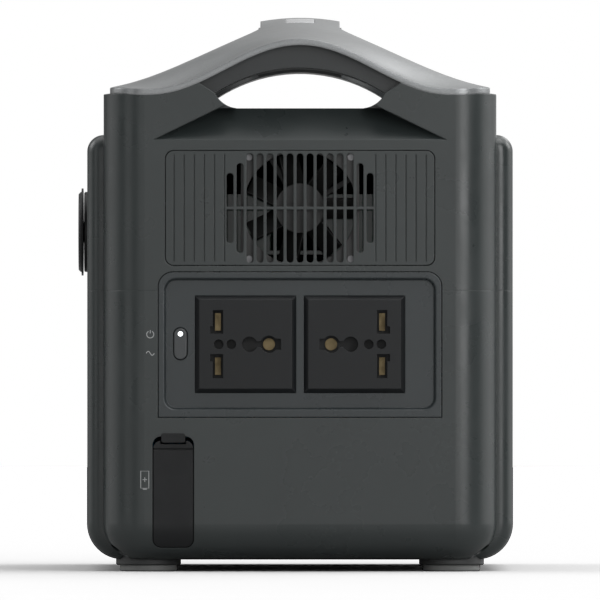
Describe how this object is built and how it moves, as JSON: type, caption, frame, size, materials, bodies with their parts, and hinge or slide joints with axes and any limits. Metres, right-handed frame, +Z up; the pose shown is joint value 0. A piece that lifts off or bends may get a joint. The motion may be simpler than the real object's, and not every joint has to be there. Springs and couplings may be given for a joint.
{
  "type": "portable power station",
  "caption": "Box-shaped battery power station with an arched carrying handle on top, mains outlets and a vent at one end, and covered sockets.",
  "frame": {"origin": "middle of the object on the plane it stands on", "axes": "+Z up, the outlet end faces -Y, the display side faces -X"},
  "size_m": [0.184, 0.2905, 0.2354],
  "materials": {
    "case_plastic": "fine moulded texture",
    "handle_skin": "satin metallic paint",
    "inlay_satin": "satin",
    "core_plastic": "moulded",
    "soft_rubber": "matt",
    "foot_rubber": "matt",
    "foot_plastic": "moulded",
    "front_gloss": "satin black",
    "outlet_plastic": "moulded",
    "button_plastic": "moulded",
    "reset_plastic": "moulded",
    "light_window": "diffuse window",
    "display_glass": "polished",
    "display_board": "moulded",
    "contact_brass": "bright",
    "port_steel": "satin",
    "port_plastic": "moulded",
    "screw_steel": "blackened",
    "fan_plastic": "moulded",
    "cell_wrap": "shrink sleeve",
    "bus_copper": "nickel plated",
    "circuit_board": "solder mask",
    "sink_aluminium": "extruded",
    "transformer_core": "varnished",
    "capacitor_sleeve": "sleeved can",
    "post_nylon": "moulded",
    "lead_rubber": "sleeved"
  },
  "bodies": {
    "case": {"ac_panel": "case_plastic", "battery_board": "circuit_board", "battery_cells": "cell_wrap", "board_posts": "post_nylon", "bus_bars": "bus_copper", "button_switches": "post_nylon", "capacitors": "capacitor_sleeve", "car_socket": "outlet_plastic", "case_gasket": "soft_rubber", "case_screws": "screw_steel", "cell_holders": "core_plastic", "charger_board": "circuit_board", "dc_contacts": "contact_brass", "dc_jacks": "outlet_plastic", "display_lens": "display_glass", "display_module": "display_board", "expansion_socket": "outlet_plastic", "fan_frames": "core_plastic", "fan_screws": "screw_steel", "foot_pads": "foot_rubber", "foot_seats": "foot_plastic", "front_board": "circuit_board", "front_panel": "front_gloss", "grip_pad": "soft_rubber", "handle_core": "core_plastic", "handle_cover": "handle_skin", "handle_screws": "screw_steel", "heat_sinks": "sink_aluminium", "hinge_tabs": "soft_rubber", "inlet_pins": "contact_brass", "input_panel": "case_plastic", "intake_grille": "case_plastic", "inverter_board": "circuit_board", "lower_case": "case_plastic", "mains_inlet": "outlet_plastic", "outlet_left": "outlet_plastic", "outlet_right": "outlet_plastic", "pack_cushions": "soft_rubber", "power_leads": "lead_rubber", "socket_contacts": "contact_brass", "solar_inlet": "outlet_plastic", "top_inlay": "inlay_satin", "transformer": "transformer_core", "upper_case": "case_plastic", "usb_a_ports": "port_steel", "usb_a_tongues": "port_plastic", "usb_c_port": "port_steel", "vent_grille": "case_plastic"},
    "ac_button_body": {"ac_button": "button_plastic", "ac_button_light": "light_window"},
    "power_button_body": {"power_button": "button_plastic", "power_button_light": "light_window"},
    "usb_button_body": {"usb_button": "button_plastic"},
    "dc_button_body": {"dc_button": "button_plastic"},
    "reset_button_body": {"reset_button": "reset_plastic"},
    "expansion_flap": {"expansion_cover": "soft_rubber"},
    "input_flap": {"input_cover": "soft_rubber"},
    "car_cap_body": {"car_cap": "soft_rubber"},
    "exhaust_rotor": {"exhaust_fan_rotor": "fan_plastic"},
    "intake_rotor": {"intake_fan_rotor": "fan_plastic"}
  },
  "joints": [
    {"name": "ac_button_press", "type": "slide", "parent": "case", "child": "ac_button_body", "axis": [0, 1, 0], "range_m": [0, 0.001], "stiffness_N_per_m": 500, "springref_m": -0.001},
    {"name": "power_button_press", "type": "slide", "parent": "case", "child": "power_button_body", "axis": [1, 0, 0], "range_m": [0, 0.0008], "stiffness_N_per_m": 500, "springref_m": -0.001},
    {"name": "usb_button_press", "type": "slide", "parent": "case", "child": "usb_button_body", "axis": [1, 0, 0], "range_m": [0, 0.0008], "stiffness_N_per_m": 500, "springref_m": -0.001},
    {"name": "dc_button_press", "type": "slide", "parent": "case", "child": "dc_button_body", "axis": [1, 0, 0], "range_m": [0, 0.0008], "stiffness_N_per_m": 500, "springref_m": -0.001},
    {"name": "reset_button_press", "type": "slide", "parent": "case", "child": "reset_button_body", "axis": [0, -1, 0], "range_m": [0, 0.0008], "stiffness_N_per_m": 500, "springref_m": -0.001},
    {"name": "expansion_cover_hinge", "type": "hinge", "parent": "case", "child": "expansion_flap", "pos_m": [-0.0535, -0.1437, 0.0532], "axis": [-1, 0, 0], "range_deg": [0, 100]},
    {"name": "input_cover_hinge", "type": "hinge", "parent": "case", "child": "input_flap", "pos_m": [0, 0.143, 0.1108], "axis": [1, 0, 0], "range_deg": [0, 90]},
    {"name": "car_cap_hinge", "type": "hinge", "parent": "case", "child": "car_cap_body", "pos_m": [-0.09235, -0.0585, 0.1435], "axis": [0, 0, -1], "range_deg": [0, 110]},
    {"name": "exhaust_fan_spin", "type": "hinge", "parent": "case", "child": "exhaust_rotor", "pos_m": [0, -0.133, 0.1534], "axis": [0, -1, 0], "continuous": true},
    {"name": "intake_fan_spin", "type": "hinge", "parent": "case", "child": "intake_rotor", "pos_m": [0, 0.133, 0.1534], "axis": [0, 1, 0], "continuous": true}
  ]
}
